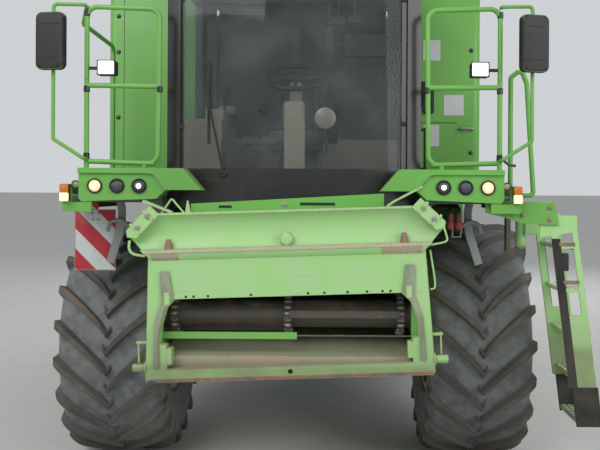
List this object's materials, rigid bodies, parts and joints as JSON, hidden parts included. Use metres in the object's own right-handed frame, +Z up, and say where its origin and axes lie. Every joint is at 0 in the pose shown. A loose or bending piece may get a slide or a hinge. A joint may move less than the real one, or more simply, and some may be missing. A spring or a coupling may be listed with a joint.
{
  "type": "combine harvester",
  "caption": "Self-propelled combine harvester without its header: cab, feeder house, grain tank, engine bay, straw hood, rear steering and swinging unloading auger.",
  "frame": {"origin": "on the ground, under the middle of the machine's box", "axes": "+Y from the front to the back, +X to the machine's left, +Z up"},
  "size_m": [3.828, 8.096, 3.88],
  "materials": {
    "body_green": "weathered gloss paint",
    "dark_green": "dusty paint",
    "frame_grey": "dusty satin paint",
    "cast_iron": "oily, dull",
    "trim_black": "satin",
    "worn_steel": "worn and rusty",
    "window_glass": "clear, a little dusty",
    "seat_fabric": "woven",
    "cab_plastic": "grained",
    "lamp_glass": "clear lenses",
    "board_red": "retroreflective sheet",
    "rod_chrome": "polished",
    "tyre_rubber": "dusty black",
    "rim_paint": "satin paint"
  },
  "bodies": {
    "machine": {"chassis_frame": "frame_grey", "front_axle": "frame_grey", "body_core": "dark_green", "front_panels": "body_green", "rear_panels": "body_green", "grain_tank": "body_green", "engine_block": "cast_iron", "engine_housing": "body_green", "exhaust": "worn_steel", "air_cleaner": "trim_black", "straw_hood": "body_green", "chopper_housing": "dark_green", "side_drives": "worn_steel", "cab_shell": "trim_black", "cab_roof": "body_green", "cab_glass": "window_glass", "driver_seat": "seat_fabric", "cab_controls": "cab_plastic", "light_consoles": "body_green", "lamps": "lamp_glass", "platforms": "frame_grey", "railings": "body_green", "mirrors": "trim_black", "marker_board": "board_red", "rear_axle": "frame_grey", "auger_turret": "dark_green", "rear_ladder": "body_green"},
    "front_wheel_left": {"front_tyre_left": "tyre_rubber", "front_rim_left": "rim_paint"},
    "front_wheel_right": {"front_tyre_right": "tyre_rubber", "front_rim_right": "rim_paint"},
    "rear_wheel_left": {"rear_tyre_left": "tyre_rubber", "rear_rim_left": "rim_paint"},
    "rear_wheel_right": {"rear_tyre_right": "tyre_rubber", "rear_rim_right": "rim_paint"},
    "knuckle_left": {"knuckle_left": "frame_grey"},
    "knuckle_right": {"knuckle_right": "frame_grey"},
    "steering_rod": {"steering_rod": "worn_steel"},
    "feeder": {"feeder_house": "body_green", "feeder_chain": "worn_steel"},
    "header_frame": {"header_frame": "body_green"},
    "lift_barrels": {"lift_barrels": "frame_grey"},
    "lift_rods": {"lift_rods": "rod_chrome"},
    "ladder": {"ladder": "body_green"},
    "cab_door": {"cab_door": "trim_black", "cab_door_glass": "window_glass"},
    "side_door_left": {"side_door_left": "body_green"},
    "side_door_right": {"side_door_right": "body_green"},
    "tank_lid_left": {"tank_lid_left": "body_green"},
    "tank_lid_right": {"tank_lid_right": "body_green"},
    "air_screen": {"air_screen": "trim_black"},
    "chopper_rotor": {"chopper_rotor": "worn_steel"},
    "auger_tube": {"auger_tube": "body_green"}
  },
  "joints": [
    {"name": "front_wheel_left_spin", "type": "hinge", "parent": "machine", "child": "front_wheel_left", "pos_m": [1.2175, -2.042, 0.925], "axis": [1, 0, 0], "continuous": true},
    {"name": "front_wheel_right_spin", "type": "hinge", "parent": "machine", "child": "front_wheel_right", "pos_m": [-1.5225, -2.042, 0.925], "axis": [1, 0, 0], "continuous": true},
    {"name": "steer_left", "type": "hinge", "parent": "machine", "child": "knuckle_left", "pos_m": [0.7275, 1.708, 0.655], "axis": [0, 0, 1], "range_deg": [-38, 38]},
    {"name": "steer_right", "type": "hinge", "parent": "machine", "child": "knuckle_right", "pos_m": [-1.0325, 1.708, 0.655], "axis": [0, 0, 1], "range_deg": [-38, 38]},
    {"name": "steering_rod_slide", "type": "slide", "parent": "machine", "child": "steering_rod", "axis": [-1, 0, 0], "range_m": [-0.1426, 0.1426]},
    {"name": "rear_wheel_left_spin", "type": "hinge", "parent": "knuckle_left", "child": "rear_wheel_left", "pos_m": [1.0975, 1.708, 0.655], "axis": [1, 0, 0], "continuous": true},
    {"name": "rear_wheel_right_spin", "type": "hinge", "parent": "knuckle_right", "child": "rear_wheel_right", "pos_m": [-1.4025, 1.708, 0.655], "axis": [1, 0, 0], "continuous": true},
    {"name": "feeder_lift", "type": "hinge", "parent": "machine", "child": "feeder", "pos_m": [-0.1525, -2.192, 1.6], "axis": [1, 0, 0], "range_deg": [-2, 24]},
    {"name": "header_frame_roll", "type": "hinge", "parent": "feeder", "child": "header_frame", "pos_m": [-0.1525, -3.972, 1.83], "axis": [0, 1, 0], "range_deg": [-2, 6]},
    {"name": "lift_barrel_swing", "type": "hinge", "parent": "machine", "child": "lift_barrels", "pos_m": [-0.1525, -2.302, 0.7], "axis": [1, 0, 0], "range_deg": [-1.83, 20.86]},
    {"name": "lift_rod_slide", "type": "slide", "parent": "lift_barrels", "child": "lift_rods", "axis": [0, -0.9202, 0.3916], "range_m": [-0.3756, 0.0331]},
    {"name": "ladder_swing", "type": "hinge", "parent": "machine", "child": "ladder", "pos_m": [1.4675, -2.972, 1.8], "axis": [0, 0, -1], "range_deg": [0, 90]},
    {"name": "cab_door_open", "type": "hinge", "parent": "machine", "child": "cab_door", "pos_m": [0.7295, -2.196, 2.8], "axis": [0, 0, 1], "range_deg": [0, 75]},
    {"name": "side_door_left_lift", "type": "hinge", "parent": "machine", "child": "side_door_left", "pos_m": [1.3275, -0.142, 2.535], "axis": [0, -1, 0], "range_deg": [0, 80]},
    {"name": "side_door_right_lift", "type": "hinge", "parent": "machine", "child": "side_door_right", "pos_m": [-1.6325, -0.142, 2.535], "axis": [0, 1, 0], "range_deg": [0, 80]},
    {"name": "tank_lid_left_open", "type": "hinge", "parent": "machine", "child": "tank_lid_left", "pos_m": [1.0175, -0.842, 3.474], "axis": [0, 1, 0], "range_deg": [0, 105]},
    {"name": "tank_lid_right_open", "type": "hinge", "parent": "machine", "child": "tank_lid_right", "pos_m": [-1.3225, -0.842, 3.474], "axis": [0, -1, 0], "range_deg": [0, 105]},
    {"name": "air_screen_spin", "type": "hinge", "parent": "machine", "child": "air_screen", "pos_m": [-1.6525, 1.008, 3], "axis": [1, 0, 0], "continuous": true},
    {"name": "chopper_spin", "type": "hinge", "parent": "machine", "child": "chopper_rotor", "pos_m": [-0.1525, 3.128, 1.29], "axis": [1, 0, 0], "continuous": true},
    {"name": "auger_swing", "type": "hinge", "parent": "machine", "child": "auger_tube", "pos_m": [1.1975, -1.612, 3.01], "axis": [0, 0, -1], "range_deg": [0, 100]}
  ],
  "couplings": [
    {"joint": "steer_right", "follows": "steer_left", "ratio": 1},
    {"joint": "steering_rod_slide", "follows": "steer_left", "m_per_rad": 0.21351},
    {"joint": "lift_barrel_swing", "follows": "feeder_lift", "ratio": 0.865},
    {"joint": "lift_rod_slide", "follows": "feeder_lift", "m_per_rad": -0.892}
  ]
}
